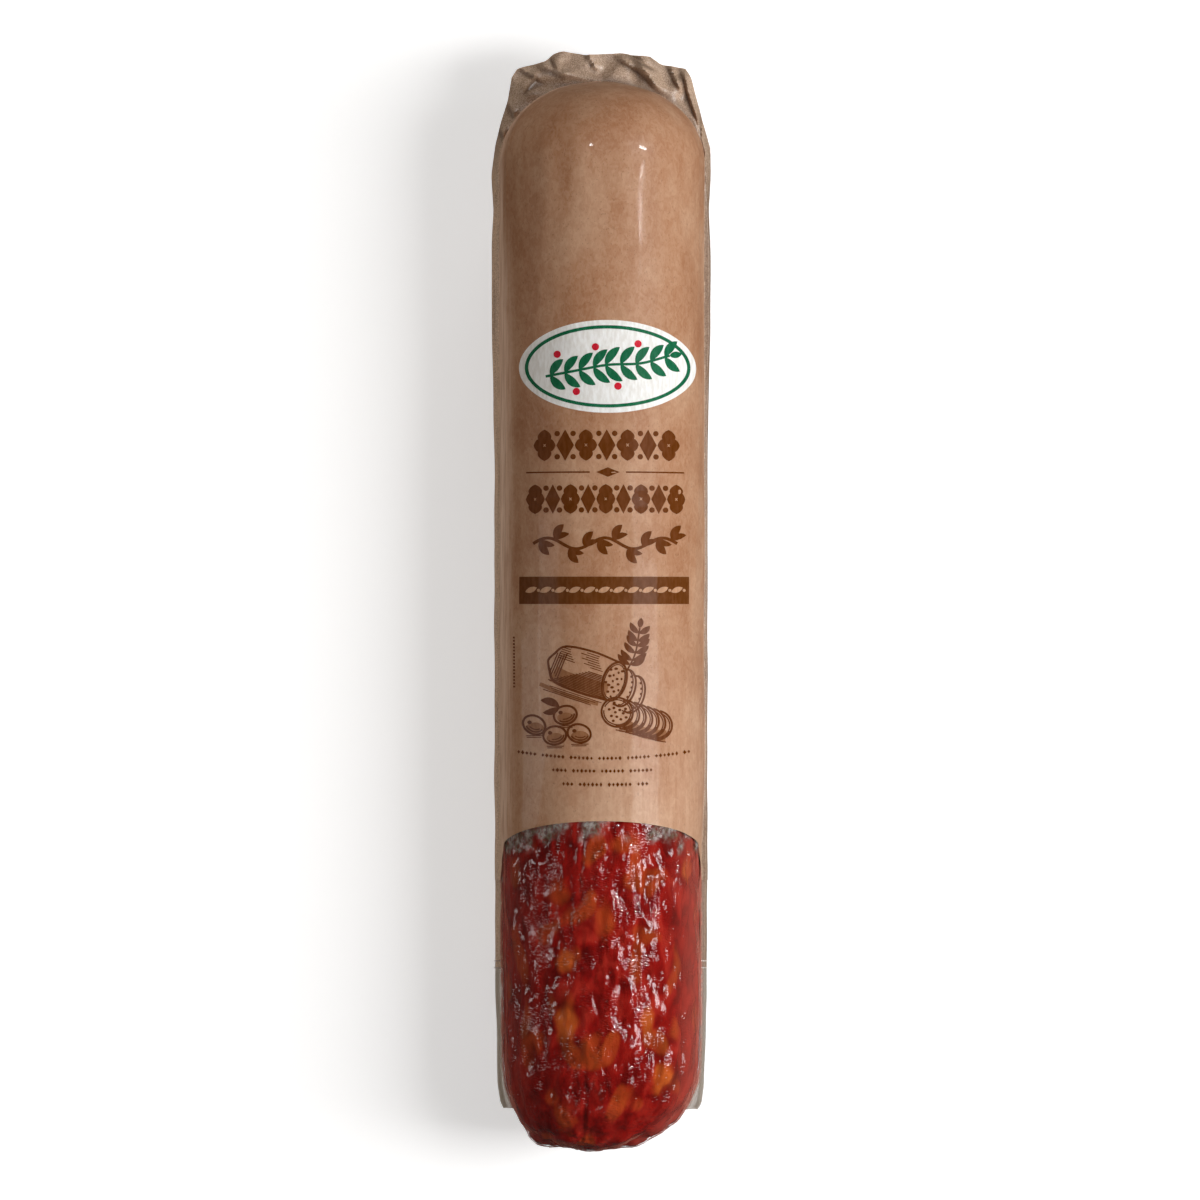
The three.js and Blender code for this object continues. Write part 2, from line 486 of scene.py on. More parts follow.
def cured_meat():
    """Deep red meat and orange fat under a dark, glossy, crinkled casing, with painted shade in its hollows
    and a painted sheen on its sides.
    """
    graph = Graph("cured meat")
    red = graph.steps(graph.noise(5.0, 1.5, 3.0, 0.6), [
        (0.28, (0.11, 0.0015, 0.0015)), (0.5, (0.27, 0.006, 0.004)), (0.74, (0.41, 0.024, 0.014)),
    ])
    fat = graph.attribute("fat")
    fat_color = graph.mix(graph.noise(3.0, 1.5, 2.0), (0.58, 0.08, 0.012), (0.78, 0.2, 0.03))
    body = graph.mix(graph.math("MULTIPLY", fat, 0.7), red, fat_color)
    # Painted shade in the casing's furrows and hollows.
    groove_shade = graph.attribute("groove_shade")
    shaded = graph.mix(graph.math("MULTIPLY", groove_shade, 0.5), body, (0.08, 0.001, 0.001))
    # A painted sheen: paler red towards the sides, stronger on the +X side.
    sheen_lightened = graph.mix(graph.attribute("painted_side_sheen"), shaded, (0.42, 0.09, 0.065))
    patches = graph.ramp(graph.noise(5.0, 1.4, 1.0), 0.47, 0.6, 0.1, 1.0)
    crinkles = graph.math("MULTIPLY", graph.noise(1.4, 0.4, 0.0, 0.6), patches)
    creased = graph.bump(graph.noise(0.75, 2.8, 1.0, 0.5), 0.09)
    crinkled = graph.bump(crinkles, 0.22, normal=creased)
    return graph.finish(graph.surface(sheen_lightened, 0.1, 1.48, crinkled))


def ink(name, color):
    graph = Graph(name)
    wear_and_glint = graph.ramp(graph.noise(0.9, 3.0, 3.0), 0.3, 0.75)
    thin = tuple(min(1.0, 1.25 * c + 0.01) for c in color)
    mixed = graph.mix(wear_and_glint, color, thin)
    return graph.finish(graph.surface(mixed, 0.42, 1.12, film_bump(graph), coat=0.06))


# ---- the sausage
# Fat that shows through the casing, as seen from above: (x, y, half width, half length).
FAT = [
    (-10, -116, 3.4, 7.5), (17.5, -131, 4.4, 4.2), (24, -74, 3, 4.5), (-10, -99, 3.2, 3.2),
    (13, -116, 2, 5.5),
]
FAINT_FAT = [
    (1, -87, 2.8, 5.4), (-11, -142, 3.4, 5), (-18.6, -121, 3.4, 4), (20.5, -118, 2.6, 3.2),
    (-3, -122, 3.4, 4), (7, -67, 4.5, 2.6), (-12, -80, 3.6, 3.5), (9, -77, 3, 2.6), (5, -140, 2.6, 3),
]


def sausage():
    """The meat in its casing. Attributes tell its material where the fat is, where painted shade goes in the
    hollows and where a painted sheen goes on the sides.
    """
    rows = rows_to([(s_at(-52), 0.52), (s_at(TOP_DOME_START), 3.4), (STICK_LENGTH, 2.2)])
    columns = np.linspace(-math.pi, math.pi, 321)
    s, theta = np.meshgrid(rows, columns, indexing="ij")
    carve = carved(s, theta)
    points = on_stick(s, theta, MEAT_SWELL + swell(s, theta) + carve)
    warp = 0.45 * skin_noise(s, theta, 3.0, 1.2, 9)
    stray = smooth(0.2, 0.42, skin_noise(s, theta, 6.5, 1.5, 10)) * 0.4
    fat = np.maximum(near(s, theta, FAT, warp), np.maximum(0.4 * near(s, theta, FAINT_FAT, warp), stray))
    # Painted shade: the deeper the carving, the darker.
    groove_shade = smooth(0.6, 1.6, -carve)
    round_side = np.abs(theta)
    # A painted sheen on the sides, stronger on the +X side than on the -X side.
    painted_side_sheen = smooth(math.radians(38), math.radians(80), round_side)
    painted_side_sheen = painted_side_sheen * (1 - smooth(math.radians(96), 2.3, round_side))
    painted_side_sheen = painted_side_sheen * np.where(theta > 0, 0.65, 0.3)
    index = np.arange(s.size).reshape(s.shape)
    piece = new_piece("cured_sausage", points.reshape(-1, 3), grid_faces(index), [cured_meat()],
                      attributes={"fat": fat, "groove_shade": groove_shade, "painted_side_sheen": painted_side_sheen})
    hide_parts("sausage")


# ---- the film
def arch_depth(theta):
    """How far below its top the print's arched edge lies, at an angle round the sausage."""
    way = (MEAT_RADIUS + FILM_LIFT) * np.abs(theta)
    return 0.005 * way ** 2 + 8 * smooth(36, 43.7, way)


# The sealed end's sharp folds: from (x, y) to (x, y), the width of the slope up to the fold, and its height.
FOLDS = [
    (-17, 149, -8.5, 145, 3, 1.3), (-10.5, 146.5, 1.5, 142, 2.6, 1.2),
    (4.5, 151.5, 13.5, 146, 2.2, 1.4), (10, 150, 17, 139, 3, 1.5),
    (22.5, 148, 27.5, 131, 2.6, 1.3), (-23.5, 148.5, -16, 144.5, 2, 1),
    (7.5, 152.5, 15, 147, 1.6, -1), (-22, 141, -17.5, 147, 2.2, 1),
    (-26.5, 139, -21.5, 131, 2.4, 1), (18.5, 149, 22, 141.5, 2, 1),
    (-4, 152.5, -1, 147, 2.2, 0.9), (-28.5, 132, -24, 122, 2, 0.9),
    (28.5, 136, 27, 122, 1.8, 1), (-13.5, 151.5, -12, 147, 1.8, 0.9),
]


def fold_height(x, y):
    """The sealed end's crumples: low straight-sided waves, and folds that rise slowly and drop at once.

    It returns the height, the painted shade in the creases under the folds, and where painted highlights go
    along the fold edges.
    """
    height = np.zeros(np.shape(x))
    bend = np.array([noise.noise((px / 11, py / 11, 2.0)) for px, py in zip(np.ravel(x), np.ravel(y))])
    bend = bend.reshape(np.shape(x))
    for degrees, spacing, tall, shift in [(68, 12.0, 0.7, 0.1), (112, 8.5, 0.45, 0.4), (12, 6.5, 0.35, 0.7)]:
        along = x * math.cos(math.radians(degrees)) + y * math.sin(math.radians(degrees))
        phase = along / spacing + shift + 0.9 * bend
        height += tall * (np.abs(phase % 1 - 0.5) * 4 - 1)
    crease_shade, edge = np.zeros(height.shape), np.zeros(height.shape)
    for x0, y0, x1, y1, rise, tall in FOLDS:
        long = math.hypot(x1 - x0, y1 - y0)
        along = ((x - x0) * (x1 - x0) + (y - y0) * (y1 - y0)) / long ** 2
        beside = ((x - x0) * (y1 - y0) - (y - y0) * (x1 - x0)) / long + 0.8 * bend
        within = smooth(-0.12, 0.25, along) * smooth(-0.12, 0.25, 1 - along)
        slope = np.where(beside < 0, 1 + beside / rise, 1 - beside / (0.28 * rise))
        height += 1.5 * tall * np.clip(slope, 0, 1) * within
        # Painted shade in the crease under each fold's steep side.
        crease_shade = np.maximum(crease_shade, np.exp(-((beside - 0.3 * rise) / (0.34 * rise)) ** 2) * within)
        # Where painted highlights go along each fold's edge.
        edge = np.maximum(edge, np.exp(-(beside / 0.5) ** 2) * within)
    return height, crease_shade, edge


def along_line(points, shares):
    """Points at the given shares of a polyline's length."""
    points = np.array(points, float)
    way = np.concatenate([[0], np.cumsum(np.hypot(*np.diff(points, axis=0).T))])
    return np.stack([np.interp(np.array(shares) * way[-1], way, column) for column in points.T], -1)


def fin(x_in, z_in, half_width, tuck, droop, shares):
    """The side seal seen along the stick: a short way out from the film's edge, then folded down.

    tuck draws it in under another one, and droop lowers its outer edge. Shares say where along it points lie.
    """
    t = np.linspace(0, 1, 14)[:, None]
    bend = max(half_width - 0.7 - tuck, x_in + 0.05)
    middle = ((x_in + bend) / 2, z_in - 0.12 - 0.5 * droop)
    corner = np.array([bend, z_in - 0.1 - droop])
    shoulder = np.array([half_width + 0.1 - tuck, z_in - droop])
    side = np.array([half_width + 0.2 - tuck, z_in - 2.0])
    end = np.array([half_width - 1.0 - tuck, z_in - FIN_DROP])
    start_half = (1 - t) ** 3 * corner + 3 * t * (1 - t) ** 2 * shoulder
    bent = start_half + 3 * t * t * (1 - t) * side + t ** 3 * end
    return along_line([(x_in, z_in), middle, *bent], shares)


RIM_COLUMNS = 26


def rim_rows(skin_edge, side, tuck, shares):
    """The rim beside each point of one side's skin edge, with its painted light and its painted shade.

    side is 1 or -1, and skin_edge holds the points from low to top.
    """
    y = skin_edge[:, 1]
    half_widths = POUCH_HALF - np.interp(y, *zip(*RIM_WIDTHS))
    way = np.concatenate([[0], np.cumsum(np.hypot(*np.diff(skin_edge[:, :2], axis=0).T))])
    start = np.interp(RIM_FLAT, y, way)
    outline = SEALED_EDGE if side > 0 else SEALED_EDGE[::-1]
    half = [point for point in outline if point[0] * side > 0] + [(0, 152.0)]
    ripple = np.array([noise.noise((side * 4.0, place / 14, 1.0)) for place in y])
    droop = 0.0 if side > 0 else 1.0
    rows = []
    for point, width, place, wave in zip(skin_edge, half_widths, way, ripple):
        folded = fin(point[0] * side, point[2], width + 0.25 * wave, tuck, droop, shares)
        down = np.stack([folded[:, 0] * side, np.full(len(shares), point[1]), folded[:, 1]], -1)
        onward = np.clip((place - start) / (way[-1] - start), 0, 1)
        cut = along_line(half, [onward])[0] if place > start else np.array([width * side, point[1]])
        flat_x = point[0] + (cut[0] - point[0]) * shares
        flat_y = point[1] + (cut[1] - point[1]) * shares
        flat = np.stack([flat_x, flat_y, point[2] - 3.2 * shares ** 1.5], -1)
        rows.append(down + (flat - down) * smooth(96, 124, point[1]))
    rows = np.array(rows)
    crumpled = smooth(104, 132, rows[:, :, 1]) * smooth(0.0, 0.3, shares)[None, :]
    height, crease_shade, wear_and_glint = fold_height(rows[:, :, 0], rows[:, :, 1])
    rows[:, :, 2] += crumpled * height
    ribs = 0.1 * np.sin(shares * 2 * math.pi * 3.5) * (1 - smooth(110, 130, y))[:, None]
    rows[:, :, 0] += side * ribs
    # Painted light: the whole left rim lit, the +X rim a little, and painted highlights along the crumpled
    # folds' edges.
    painted_light = (0.15 if side > 0 else 1.0) * (1 - smooth(112, 130, rows[:, :, 1])) + 0.5 * crumpled * wear_and_glint
    bright = 0.2 if side > 0 else 0.8
    # A painted highlight along the rim's bend where it leaves the sausage, brighter on the left.
    lip_highlight = bright * np.exp(-(shares / 0.06) ** 2) * (1 - smooth(124, 140, y))[:, None]
    # Painted shade over the +X rim outside the crumpled end, returned with the painted shade in the creases.
    shade = 0.85 * (1 - crumpled) if side > 0 else 0.0
    return rows, np.clip(painted_light + lip_highlight, 0, 1), np.maximum(crumpled * crease_shade, shade)


def frost_on(s, theta):
    """Where the clear film stands off the casing just under the print, in cloudy patches."""
    below_arch = WINDOW_TOP - arch_depth(theta) - y_at(s)
    ragged = below_arch + 5 * skin_noise(s, theta, 3.2, 1.3, 12)
    band = smooth(-1, 0.5, below_arch) * (1 - smooth(1.5, 5.5, ragged))
    patches = smooth(-0.25, 0.2, skin_noise(s, theta, 4.0, 1.2, 13))
    return band * patches


def painted_light_on(s, theta):
    """Painted light on the printed film: a lit band and a painted highlight beside the left seal, a painted
    reflection along one wandering streak, and a little painted light towards the lower end on the +X side.
    """
    reflection_streak = np.exp(-((arc_distance(theta, math.radians(-79)) - 2 * wander(s, 140)) / 0.8) ** 2)
    below = 0.16 * (1 - smooth(-60, 20, y_at(s))) * smooth(-0.6, 0.2, theta)
    present = smooth(-0.35, 0.1, wander(s, 160)) * (1 - smooth(100, 120, y_at(s)))
    to_left = -np.degrees(theta)
    broad = 0.8 * smooth(54, 76, to_left) * (1 - smooth(70, 115, y_at(s)))
    narrow = 0.7 * smooth(73, 82, to_left)
    return np.clip(np.maximum(broad, narrow) + 0.9 * reflection_streak * present + below, 0, 1)


def web(name, spacings, columns, arched, tuck, materials):
    """One web of the pouch: its half of the skin, and its rim from the ears up and round the sealed end.

    The print starts where the first of the row spacings ends; an arched web bends that row into the window's
    edge. The materials are those of the printed film, the clear film, and both where they are sealed.
    """
    rows = rows_to(spacings)
    print_row = int(np.argmin(abs(rows - spacings[0][0])))
    s, theta = np.meshgrid(rows, columns, indexing="ij")
    if arched:
        pull = np.cos(np.clip((s - rows[print_row]) / 45, -1, 1) * math.pi / 2) ** 2
        s = s - pull * arch_depth(theta)
    points = on_stick(s, theta, FILM_LIFT + film_relief(s, theta), flare(s, theta))
    frost, painted_light = frost_on(s, theta), painted_light_on(s, theta)
    index = np.arange(s.size).reshape(s.shape)
    faces = [grid_faces(index)]
    below_print = np.repeat(np.arange(len(rows) - 1) < print_row, len(columns) - 1)
    face_materials = [np.where(below_print, 1, 0)]
    vertices, count = [points.reshape(-1, 3)], s.size
    attributes = {"frost": [frost.ravel()], "painted_light": [painted_light.ravel()], "crease_shade": [np.zeros(s.size)]}
    shares = np.concatenate([[0.0], np.linspace(0.04, 1, RIM_COLUMNS)])
    for column in (0, -1):
        side = 1 if points[len(rows) // 2, column, 0] > 0 else -1
        edge = points[:, column]
        first = int(np.argmax(edge[:, 1] > EAR_END))
        rim, rim_painted_light, rim_crease_shade = rim_rows(edge[first:], side, tuck, shares)
        numbers = count + np.arange(rim.shape[0] * rim.shape[1]).reshape(rim.shape[:2])
        vertices.append(rim.reshape(-1, 3))
        # On the rim the frost attribute marks the red line beside the sausage.
        fold = np.broadcast_to(0.8 * np.exp(-(shares / 0.045) ** 2), rim.shape[:2])
        for parts, values in zip(attributes.values(), (fold, rim_painted_light, rim_crease_shade)):
            parts.append(values.ravel())
        count += numbers.size
        quads = grid_faces(numbers)
        faces.append(quads if column == -1 else quads[:, ::-1])
        under = np.repeat(np.arange(first, len(rows) - 1) < print_row, len(shares) - 1)
        face_materials.append(np.where(under, 3, 2))
    joined = {key: np.concatenate(parts) for key, parts in attributes.items()}
    piece = new_piece(name, np.concatenate(vertices), np.concatenate(faces), materials,
                      np.concatenate(face_materials), joined)
    thicken(piece, FILM_WALL)
    return piece


def films():
    shared = [kraft_film(), clear_film(), sealed_kraft()]
    quarter = math.pi / 2 - SEAM_TILT
    dome = s_at(112)
    upper = web("printed_upper_film", [(s_at(WINDOW_TOP), 1.2), (dome, 2.0), (STICK_LENGTH, 0.7)],
                np.linspace(-quarter, quarter, 119), True, 0.0,
                shared + [clear_seal("upper clear seal", 0.05)])
    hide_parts("upper_film")
    lower = web("printed_lower_film", [(s_at(BACK_PRINT_END), 1.1), (dome, 2.6), (STICK_LENGTH, 0.8)],
                np.linspace(math.pi - quarter, math.pi + quarter, 91), False, 0.3,
                shared + [clear_seal("lower clear seal", 0.55)])
    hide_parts("lower_film")


# ---- the print
INK_WALL = 0.04
INK_STEP = 0.7  # about how far apart the points of an inked line are
SHAPE_STEP = 0.002  # keeps shapes of one ink that cross from lying in each other


def theta_at(x):
    """The angle round the sausage at which the printed film lies under x, as seen from above."""
    theta = np.linspace(-1.5, 1.5, 601)
    return np.interp(x, on_stick(s_at(0), theta, FILM_LIFT, flare(s_at(0), theta))[:, 0], theta)


def curve(points):
    """A smooth line through the points."""
    points = np.array(points, float)
    padded = np.vstack([2 * points[0] - points[1], points, 2 * points[-1] - points[-2]])
    line = []
    for a, b, c, d in zip(padded, padded[1:], padded[2:], padded[3:]):
        count = max(2, math.ceil(np.hypot(*(c - b)) / INK_STEP))
        for t in np.arange(count) / count:
            line.append(b + 0.5 * t * (c - a + t * (2 * a - 5 * b + 4 * c - d + t * (3 * (b - c) + d - a))))
    return np.array(line + [points[-1]])


def ellipse(center, size, start=0.0, end=360.0, tilt=0.0):
    """An arc of an ellipse with half axes `size`, turned by tilt. Angles in degrees."""
    count = max(8, math.ceil(math.radians(abs(end - start)) * max(size) / INK_STEP))
    turn = np.radians(np.linspace(start, end, count + 1))
    across, up = size[0] * np.cos(turn), size[1] * np.sin(turn)
    c, s = math.cos(math.radians(tilt)), math.sin(math.radians(tilt))
    return np.stack([center[0] + across * c - up * s, center[1] + across * s + up * c], -1)


class Print:
    """Flat shapes in one ink, drawn in millimetres as seen from above and then laid on the film."""

    def __init__(self, lift):
        self.lift = lift
        self.points, self.lifts, self.faces = [], [], []
        self.count, self.shapes = 0, 0

    def ribbon(self, line, half_widths, columns=1):
        """A strip along a line, with one half width or one for each of its points."""
        line = np.array(line, float)
        ahead = np.gradient(line, axis=0)
        ahead /= np.maximum(np.hypot(*ahead.T), 1e-9)[:, None]
        across = np.stack([-ahead[:, 1], ahead[:, 0]], -1)
        reach = np.broadcast_to(half_widths, len(line))[:, None] * np.linspace(-1, 1, columns + 1)
        points = line[:, None] + across[:, None] * reach[..., None]
        index = self.count + np.arange(reach.size).reshape(reach.shape)
        self.points.append(points.reshape(-1, 2))
        self.lifts.append(np.full(reach.size, self.lift + SHAPE_STEP * (self.shapes % 8)))
        self.faces.append(grid_faces(index)[:, ::-1])
        self.count += reach.size
        self.shapes += 1

    def line(self, points, width=0.54):
        self.ribbon(curve(points), width / 2)

    def leaf(self, base, tip, half_width, swing=0.0):
        """A pointed leaf from base to tip, its middle swung sideways."""
        base, tip = np.array(base, float), np.array(tip, float)
        t = np.linspace(0, 1, 11)
        side = np.array([-(tip - base)[1], (tip - base)[0]])
        spine = base + (tip - base) * t[:, None] + side * (swing * np.sin(t * math.pi))[:, None]
        self.ribbon(spine, half_width * np.sin(t * math.pi) ** 0.75, 2)

    def lozenge(self, center, half_width, half_height):
        x, y = center
        rows = np.linspace(-1, 1, 9)
        self.ribbon([(x, y + half_height * row) for row in rows], half_width * (1 - np.abs(rows)), 2)

    def disc(self, center, size, columns=2):
        x, y = center
        turn = np.linspace(0, math.pi, max(9, math.ceil(3 * size[0])))
        self.ribbon([(x - size[0] * math.cos(a), y) for a in turn], size[1] * np.sin(turn), columns)

    def block(self, low, high):
        x = np.linspace(low[0], high[0], math.ceil((high[0] - low[0]) / 0.8) + 1)
        middle = (low[1] + high[1]) / 2
        height = high[1] - low[1]
        self.ribbon([(value, middle) for value in x], height / 2, max(1, round(height / 0.9)))

    def mirror(self, middle):
        """Turns the shapes left for right about x = middle."""
        self.points = [points * (-1, 1) + (2 * middle, 0) for points in self.points]
        self.faces = [faces[:, ::-1] for faces in self.faces]

    def lay(self, name, ink_name, color):
        """Makes the piece: the shapes draped over the film, just above it."""
        material = ink(ink_name, color)
        flat = np.concatenate(self.points)
        s, theta = s_at(flat[:, 1]), theta_at(flat[:, 0])
        lift = FILM_LIFT + film_relief(s, theta) + np.concatenate(self.lifts)
        points = on_stick(s, theta, lift, flare(s, theta))
        piece = new_piece(name, points, np.concatenate(self.faces), [material])
        thicken(piece, INK_WALL)


BROWN = (0.12, 0.03, 0.002)


def badge():
    """A plain oval label with a ring and a leafy sprig."""
    x, y = 1.8, 64.0
    paper = Print(0.05)
    paper.disc((x, y), (24.4, 12.7), 30)
    paper.lay("badge_ground", "ivory ink", (0.84, 0.82, 0.78))
    green = Print(0.1)
    green.ribbon(ellipse((x, y), (22.3, 10.8)), 0.45)
    stem = curve([(x - 17, y - 2.6), (x - 9, y - 1.2), (x, y + 0.4), (x + 9, y + 0.9), (x + 17, y + 3.2)])
    green.ribbon(stem, 0.35)
    for number, share in enumerate(np.linspace(0.04, 0.96, 9)):
        base = stem[round(share * (len(stem) - 1))]
        long = 6.4 - 1.6 * abs(share - 0.5)
        green.leaf(base, base + np.array([0.62, 0.78]) * long, 1.15, 0.08)
        green.leaf(base, base + np.array([0.74, -0.68]) * long, 1.15, -0.08)
    green.leaf(stem[-1], stem[-1] + (3.4, 0.6), 0.9)
    green.lay("badge_sprig", "green ink", (0.006, 0.12, 0.05))
    red = Print(0.12)
    for share, side in [(0.14, 1), (0.3, -1), (0.46, 1), (0.62, -1), (0.78, 1)]:
        base = stem[round(share * (len(stem) - 1))]
        red.disc(base + np.array([-1.4, 5.6 * side - 0.4]), (1.0, 1.0))
    red.lay("badge_berries", "red ink", (0.56, 0.012, 0.03))


def petals(art, center, half_width, half_height, plump):
    """Four leaves that meet at a point."""
    x, y = center
    for side in (-1, 1):
        art.leaf((x, y + 0.25 * side), (x, y + half_height * side), plump)
        art.leaf((x + 0.25 * side, y), (x + half_width * side, y), plump * 0.9)


def ornament_row(art, low, high, count):
    """A bold row of petals and lozenges in turn, between two corners."""
    pitch = (high[0] - low[0]) / count
    middle, half = (low[1] + high[1]) / 2, (high[1] - low[1]) / 2
    for number in range(count):
        x = low[0] + pitch * (number + 0.5)
        if number % 2 == 0:
            petals(art, (x, middle), pitch * 0.54, half, 1.9)
        else:
            art.lozenge((x, middle), pitch * 0.42, half)
            for side, up in [(-1, 1), (-1, -1), (1, 1), (1, -1)]:
                art.disc((x + pitch * 0.38 * side, middle + half * 0.74 * up), (0.75, 0.75))


def headings():
    """Two bold rows with a rule between them, a leafy vine, and a plain band with a chain of leaves."""
    art = Print(0.05)
    ornament_row(art, (-18.3, 38.2), (21.4, 46.8), 7)
    for start, end in [(-20.5, -3.1), (6.8, 22.8)]:
        art.block((start, 34.9), (end, 35.3))
    art.lozenge((1.85, 35.1), 3.2, 1.3)
    ornament_row(art, (-20.4, 23.7), (23.0, 31.8), 9)
    stem = [(x, 15.6 + 1.5 * math.sin((x + 18.6) / 39.4 * 5 * math.pi)) for x in np.linspace(-18.6, 20.8, 60)]
    art.ribbon(stem, 0.42)
    for number in range(10):
        x, y = stem[3 + number * 6]
        side = 1 if number % 2 else -1
        art.leaf((x, y), (x + 2.4, y + 4.2 * side), 1.1, 0.12 * side)
        art.leaf((x, y), (x + 3.9, y + 1.6 * side), 0.8, 0.1 * side)
    art.lay("heading_ornament", "brown ink", BROWN)
    band = Print(0.05)
    band.block((-22.5, -1.0), (24.2, 6.5))
    band.lay("heading_band", "band ink", (0.12, 0.034, 0.004))
    chain = Print(0.1)
    for number in range(11):
        x = -19.2 + 4.0 * number
        chain.leaf((x - 1.6, 2.3), (x + 1.6, 3.5), 0.75)
        chain.disc((x + 2.0, 2.75), (0.42, 0.42))
    chain.lay("band_ornament", "pale ink", (0.47, 0.26, 0.15))


def hatch(art, start, end, across, count, width=0.3):
    """Parallel strokes of uneven length: the first from start to end, each next one moved by across."""
    start, end, across = np.array(start, float), np.array(end, float), np.array(across, float)
    for number in range(count):
        trim = 0.03 * (number * 7 % 5)
        low = start + across * number + (end - start) * trim
        high = end + across * number - (end - start) * trim * 1.5
        art.line([low, (low + high) / 2, high], width)


# The line drawing and its shades are drawn left for right and then mirrored about this x.
DRAWING_MIDDLE = 1.1


def herb_sprig(art):
    stem = curve([(-4.8, -19.4), (-7.2, -14.4), (-8.4, -7.6)])
    art.ribbon(stem, 0.24)
    for share in np.linspace(0.16, 0.88, 6):
        base = stem[round(share * (len(stem) - 1))]
        art.leaf(base, base + (-4.4 + 1.6 * share, 2), 0.85, 0.1)
        art.leaf(base, base + (3.6 - 1.4 * share, 3), 0.8, -0.1)
    art.leaf(stem[-1], stem[-1] + (-0.4, 2.8), 0.8)


def cut_sausage(art):
    """A sausage lying slantwise with two slices against its cut face, which is at its lower end."""
    tilt = 18
    ahead = np.array([math.cos(math.radians(tilt)), math.sin(math.radians(tilt))])
    up = np.array([-ahead[1], ahead[0]])
    face = np.array([-1.4, -22.2])
    far = face + ahead * 15.6
    art.ribbon(ellipse(face, (3.2, 5.4), tilt=tilt), 0.3)
    art.ribbon(ellipse(face, (2.7, 4.8), tilt=tilt), 0.14)
    end_up, end_down = far + ahead * 2.6 + up * 1.8, far + ahead * 2.6 - up * 2
    art.line([face + up * 5.4, face + up * 6 + ahead * 8, far + up * 5, end_up], 0.6)
    art.line([face - up * 5.4, face - up * 5.8 + ahead * 8, far - up * 5.1, end_down], 0.7)
    art.line([end_up, far + ahead * 3.4, end_down], 0.6)

    def beside_face(height, away):
        """A point at a height on the sausage's side, some way away from the outline of its cut face."""
        bow = 3.2 * math.sqrt(max(0, 1 - (height / 5.4) ** 2))
        return face + up * height + ahead * (bow + away)

    for row, height in enumerate(np.linspace(-5.1, 0.4, 14)):
        art.line([beside_face(height, 0.4), face + up * height + ahead * (17.4 - 0.75 * row)], 0.3)
    for row, height in enumerate(np.linspace(1.6, 5.2, 7)):
        start = beside_face(height, 0.8 + 0.7 * row)
        art.line([start, start + ahead * (3.6 + 1.4 * (row % 2))], 0.24)
        art.line([start + ahead * 8, start + ahead * (12.6 - 0.5 * row)], 0.24)
    hatch(art, far + up * 3.4 - ahead * 1, far - up * 4.4 - ahead * 0.4, ahead * 0.62, 5)
    for number in range(17):
        turn = 2.4 * number
        reach = 0.27 * math.sqrt(number + 0.5)
        spot = face + ahead * (2.2 * reach * math.cos(turn)) + up * (4 * reach * math.sin(turn))
        art.disc(spot, (0.3 + 0.1 * (number % 3), 0.36))
    for number in (1, 2):
        center = face - ahead * 3 * number - up * 0.9 * number
        art.ribbon(ellipse(center, (3.1, 5.2), 70, 290, tilt), 0.28)
        art.ribbon(ellipse(center + ahead * 0.8, (3.1, 5.2), 75, 285, tilt), 0.16)
        for spot in (-3.4, -2, -0.6, 0.8, 2.2, 3.6):
            art.disc(center - ahead * (2.1 - 0.08 * spot ** 2) + up * spot, (0.34, 0.36))
    shadow = face - up * 6.6 + ahead * 1.5
    hatch(art, shadow, shadow + ahead * 15, -up * 0.5 + ahead * 0.7, 4, 0.22)


def slice_fan(art):
    """Slices laid in an overlapping row."""
    for number in range(7):
        center = (-13 + 1.8 * number, -34.2 + 0.6 * number)
        start, end = (88, 272) if number < 6 else (0, 360)
        art.ribbon(ellipse(center, (4.3, 4), start, end, 16), 0.27)
        art.ribbon(ellipse(center, (3.7, 3.4), start + 8, end - 8, 16), 0.16)
        art.ribbon(ellipse(center, (4, 3.7), 190, 262, 16), 0.3)
    for number in range(13):
        turn, reach = 2.4 * number, 0.8 * math.sqrt(number + 0.4)
        art.disc((-2.2 + reach * math.cos(turn), -30.6 + reach * math.sin(turn)), (0.42, 0.36))
    hatch(art, (-15.6, -38.9), (-12.6, -38.4), (1.25, 0.34), 10)


# Olives beside the slices: (x, y, tilt in degrees).
OLIVES = [(8.2, -36.4, 12), (14.9, -37, -8), (20.6, -34.2, 24), (12, -31.4, -14)]


def olives(art):
    for x, y, tilt in OLIVES:
        art.ribbon(ellipse((x, y), (3.2, 2.5), tilt=tilt), 0.3)
        art.disc((x + 1.3, y + 0.7), (0.6, 0.5))
        art.ribbon(ellipse((x, y), (2.5, 1.8), 185, 320, tilt), 0.2)
        art.ribbon(ellipse((x, y), (1.9, 1.1), 195, 300, tilt), 0.16)
        hatch(art, (x - 2.6, y - 2.9), (x + 2.2, y - 3), (0.3, -0.45), 2, 0.24)
    art.leaf((13.6, -29.2), (18.8, -27.4), 1.1, 0.1)
    art.leaf((13.6, -29.2), (18.2, -30.8), 0.9, -0.1)


def drawing_shades():
    """Plain darker shapes under the line drawing."""
    art = Print(0.02)
    art.ribbon(curve([(0.6, -25.0), (6, -23.6), (12, -21.7), (15.4, -20.0)]), 2.3, 4)
    art.ribbon(curve([(-15.6, -37.2), (-10, -36.4), (-4.6, -34.2)]), 1.5, 3)
    for x, y, _ in OLIVES:
        art.disc((x - 0.2, y - 0.8), (2.5, 1.5), 4)
    art.ribbon(curve([(3.0, -28.3), (11, -26.3), (19.0, -22.9)]), 0.55)
    art.mirror(DRAWING_MIDDLE)
    art.lay("drawing_shades", "shade ink", (0.27, 0.115, 0.05))


